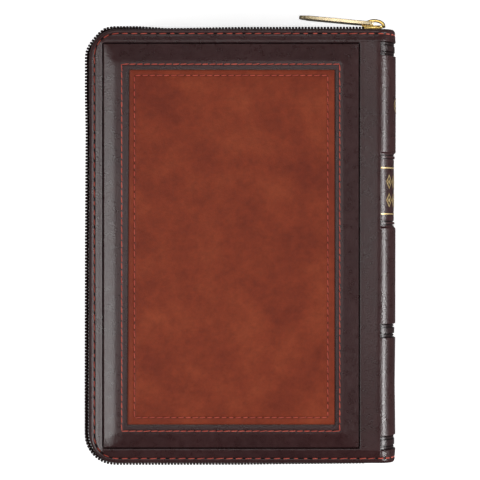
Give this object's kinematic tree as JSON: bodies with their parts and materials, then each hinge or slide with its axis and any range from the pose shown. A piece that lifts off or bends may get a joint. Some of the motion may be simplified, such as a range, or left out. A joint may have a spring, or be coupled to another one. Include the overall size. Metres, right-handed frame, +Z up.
{
  "type": "zip-around bible",
  "caption": "Closed zip-around book in a padded two-tone stitched leather case, with a banded round spine, gilt leaves and a metal zipper pull.",
  "frame": {"origin": "middle of the front cover's flat outer face, which the closed book rests on", "axes": "+X towards the spine, +Y towards the head, +Z up through the leaves to the back cover"},
  "size_m": [0.1486, 0.214, 0.035],
  "materials": {
    "frame_leather": "satin",
    "inlay_leather": "satin",
    "thread": "satin",
    "paper": "matte",
    "board": "matte",
    "foam": "matte",
    "lining": "matte",
    "cloth": "matte",
    "satin": "satin",
    "coil": "satin",
    "gold_metal": "polished"
  },
  "bodies": {
    "text_block": {"page_block": "paper", "spine_lining": "cloth", "headband": "satin", "tailband": "satin", "ribbon_marker": "satin", "spine_leather": "frame_leather", "spine_stiffener": "board", "back_hinge_leather": "frame_leather", "front_hinge_leather": "frame_leather", "spine_head_stitching": "thread", "spine_tail_stitching": "thread"},
    "back_cover": {"back_cover_leather": "frame_leather", "back_cover_inlay": "inlay_leather", "back_cover_foam": "foam", "back_cover_board": "board", "back_cover_lining": "lining", "back_edge_stitching": "thread", "back_frame_stitching": "thread", "back_inlay_stitching": "thread", "back_zipper_tape": "cloth", "back_zipper_coil": "coil", "back_head_stop": "gold_metal", "back_tail_stop": "gold_metal"},
    "back_flyleaf": {"back_flyleaf": "paper"},
    "back_outer_pages": {"back_outer_pages": "paper"},
    "back_inner_pages": {"back_inner_pages": "paper"},
    "front_cover": {"front_cover_leather": "frame_leather", "front_cover_inlay": "inlay_leather", "front_cover_foam": "foam", "front_cover_board": "board", "front_cover_lining": "lining", "front_edge_stitching": "thread", "front_frame_stitching": "thread", "front_inlay_stitching": "thread", "front_zipper_tape": "cloth", "front_zipper_coil": "coil", "front_head_stop": "gold_metal", "front_tail_stop": "gold_metal"},
    "front_flyleaf": {"front_flyleaf": "paper"},
    "front_outer_pages": {"front_outer_pages": "paper"},
    "front_inner_pages": {"front_inner_pages": "paper"},
    "slider": {"zipper_slider": "gold_metal"},
    "pull": {"zipper_pull": "gold_metal"}
  },
  "joints": [
    {"name": "back_cover_hinge", "type": "hinge", "parent": "text_block", "child": "back_cover", "pos_m": [0.0632, 0, 0.033], "axis": [0, 1, 0], "range_deg": [0, 175], "deforming": ["back_hinge_leather"]},
    {"name": "back_flyleaf_turn", "type": "hinge", "parent": "text_block", "child": "back_flyleaf", "pos_m": [0.062, 0, 0.03], "axis": [0, 1, 0], "range_deg": [0, 114]},
    {"name": "back_outer_pages_turn", "type": "hinge", "parent": "text_block", "child": "back_outer_pages", "pos_m": [0.062, 0, 0.03], "axis": [0, 1, 0], "range_deg": [0, 79]},
    {"name": "back_inner_pages_turn", "type": "hinge", "parent": "text_block", "child": "back_inner_pages", "pos_m": [0.062, 0, 0.03], "axis": [0, 1, 0], "range_deg": [0, 44]},
    {"name": "front_cover_hinge", "type": "hinge", "parent": "text_block", "child": "front_cover", "pos_m": [0.0632, 0, 0.002], "axis": [0, -1, 0], "range_deg": [0, 175], "deforming": ["front_hinge_leather"]},
    {"name": "front_flyleaf_turn", "type": "hinge", "parent": "text_block", "child": "front_flyleaf", "pos_m": [0.062, 0, 0.005], "axis": [0, -1, 0], "range_deg": [0, 114]},
    {"name": "front_outer_pages_turn", "type": "hinge", "parent": "text_block", "child": "front_outer_pages", "pos_m": [0.062, 0, 0.005], "axis": [0, -1, 0], "range_deg": [0, 79]},
    {"name": "front_inner_pages_turn", "type": "hinge", "parent": "text_block", "child": "front_inner_pages", "pos_m": [0.062, 0, 0.005], "axis": [0, -1, 0], "range_deg": [0, 44]},
    {"name": "zipper_slide", "type": "slide", "parent": "front_cover", "child": "slider", "axis": [-1, 0, 0], "range_m": [0, 0.115]},
    {"name": "zipper_pull_swing", "type": "hinge", "parent": "slider", "child": "pull", "pos_m": [0.0646, 0.10585, 0.0175], "axis": [0, 0, -1], "range_deg": [-4, 165]}
  ],
  "couplings": [
    {"joint": "back_flyleaf_turn", "follows": "back_cover_hinge", "ratio": 0.65},
    {"joint": "back_outer_pages_turn", "follows": "back_cover_hinge", "ratio": 0.45},
    {"joint": "back_inner_pages_turn", "follows": "back_cover_hinge", "ratio": 0.25},
    {"joint": "front_flyleaf_turn", "follows": "front_cover_hinge", "ratio": 0.65},
    {"joint": "front_outer_pages_turn", "follows": "front_cover_hinge", "ratio": 0.45},
    {"joint": "front_inner_pages_turn", "follows": "front_cover_hinge", "ratio": 0.25}
  ]
}
